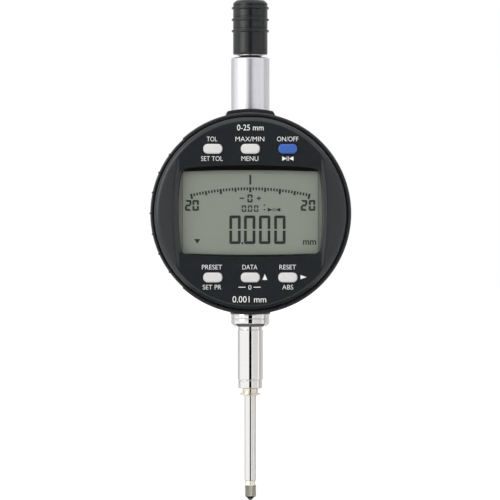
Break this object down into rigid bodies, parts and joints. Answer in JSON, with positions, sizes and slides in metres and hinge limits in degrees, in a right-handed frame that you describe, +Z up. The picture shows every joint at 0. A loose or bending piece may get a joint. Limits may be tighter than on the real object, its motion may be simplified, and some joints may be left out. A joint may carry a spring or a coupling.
{
  "type": "dial indicator",
  "caption": "Digital dial indicator: round housing with turning display and push buttons, clamping stem, sprung plunger with contact point, lifting cap.",
  "frame": {"origin": "on the plunger's axis, in the middle of the clamping stem's plain length", "axes": "+Z up along the plunger towards the lifting cap, the display faces -Y, +X to the reader's right"},
  "size_m": [0.0627, 0.027, 0.1571],
  "materials": {
    "housing_plastic": "fine satin moulded plastic",
    "cover_plastic": "satin moulded plastic",
    "face_plastic": "fine satin moulded plastic",
    "cap_plastic": "semi-gloss moulded plastic",
    "inner_plastic": "moulded plastic",
    "light_plastic": "moulded plastic",
    "key_plastic": "satin moulded plastic",
    "key_plastic_blue": "satin moulded plastic",
    "satin_steel": "satin turned",
    "polished_steel": "ground and polished",
    "dark_steel": "knurled",
    "screw_steel": "zinc plated",
    "spring_steel": "drawn wire",
    "bronze": "turned",
    "contact_gold": "plated",
    "light_alloy": "milled",
    "rubber_black": "moulded",
    "circuit_board": "solder mask",
    "chip_black": "moulded",
    "flex_amber": "polyimide film",
    "scale_glass": "etched strip",
    "lens_clear": "clear",
    "lcd_glass": "reflective liquid crystal cell",
    "silicone_grey": "moulded"
  },
  "bodies": {
    "housing": {"housing_shell": "housing_plastic", "rear_cover": "cover_plastic", "rear_gasket": "rubber_black", "rear_cover_screws": "screw_steel", "top_sleeve": "satin_steel", "upper_bush": "bronze", "wiper_ring": "rubber_black", "clamping_stem": "polished_steel", "stem_collar": "polished_steel", "stem_lock_nut": "screw_steel", "lower_bush": "bronze", "guide_frame": "light_alloy", "guide_rail": "light_alloy", "frame_screws": "screw_steel", "sensor_board": "circuit_board", "reader_chip": "chip_black", "sensor_board_screws": "screw_steel", "contact_block": "inner_plastic", "battery_contacts": "contact_gold", "data_socket": "inner_plastic", "return_spring": "spring_steel", "link_cable": "flex_amber"},
    "display": {"display_bezel": "face_plastic", "window_lens": "lens_clear", "lcd_panel": "lcd_glass", "lcd_frame": "light_plastic", "zebra_strips": "silicone_grey", "main_board": "circuit_board", "keypad_mat": "silicone_grey", "dome_contacts": "contact_gold", "display_back_plate": "inner_plastic", "back_plate_screws": "screw_steel", "retaining_ring": "satin_steel", "friction_ring": "rubber_black", "stop_pin": "screw_steel"},
    "plunger": {"spindle": "polished_steel", "lifting_cap": "cap_plastic", "cap_collar": "polished_steel", "scale_carrier": "light_alloy", "carrier_screws": "screw_steel", "scale_strip": "scale_glass", "anti_rotation_pin": "screw_steel", "spring_seat": "satin_steel", "contact_tip": "dark_steel", "contact_ball": "polished_steel"},
    "battery_drawer": {"side_cover": "cover_plastic", "battery_tray": "inner_plastic", "battery": "satin_steel"},
    "tolerance_button": {"button_tolerance": "key_plastic"},
    "menu_button": {"button_menu": "key_plastic"},
    "power_button": {"button_power": "key_plastic_blue"},
    "preset_button": {"button_preset": "key_plastic"},
    "data_button": {"button_data": "key_plastic"},
    "reset_button": {"button_reset": "key_plastic"}
  },
  "joints": [
    {"name": "plunger_slide", "type": "slide", "parent": "housing", "child": "plunger", "axis": [0, 0, 1], "range_m": [0, 0.025], "stiffness_N_per_m": 20, "springref_m": -0.0325, "deforming": ["return_spring"]},
    {"name": "display_turn", "type": "hinge", "parent": "housing", "child": "display", "pos_m": [0, -0.0125, 0.04425], "axis": [0, 1, 0], "range_deg": [-135, 135]},
    {"name": "battery_drawer_slide", "type": "slide", "parent": "housing", "child": "battery_drawer", "axis": [-1, 0, 0], "range_m": [0, 0.024]},
    {"name": "tolerance_press", "type": "slide", "parent": "display", "child": "tolerance_button", "axis": [0, 1, 0], "range_m": [0, 0.0006], "stiffness_N_per_m": 1500, "springref_m": -0.0004},
    {"name": "menu_press", "type": "slide", "parent": "display", "child": "menu_button", "axis": [0, 1, 0], "range_m": [0, 0.0006], "stiffness_N_per_m": 1500, "springref_m": -0.0004},
    {"name": "power_press", "type": "slide", "parent": "display", "child": "power_button", "axis": [0, 1, 0], "range_m": [0, 0.0006], "stiffness_N_per_m": 1500, "springref_m": -0.0004},
    {"name": "preset_press", "type": "slide", "parent": "display", "child": "preset_button", "axis": [0, 1, 0], "range_m": [0, 0.0006], "stiffness_N_per_m": 1500, "springref_m": -0.0004},
    {"name": "data_press", "type": "slide", "parent": "display", "child": "data_button", "axis": [0, 1, 0], "range_m": [0, 0.0006], "stiffness_N_per_m": 1500, "springref_m": -0.0004},
    {"name": "reset_press", "type": "slide", "parent": "display", "child": "reset_button", "axis": [0, 1, 0], "range_m": [0, 0.0006], "stiffness_N_per_m": 1500, "springref_m": -0.0004}
  ]
}
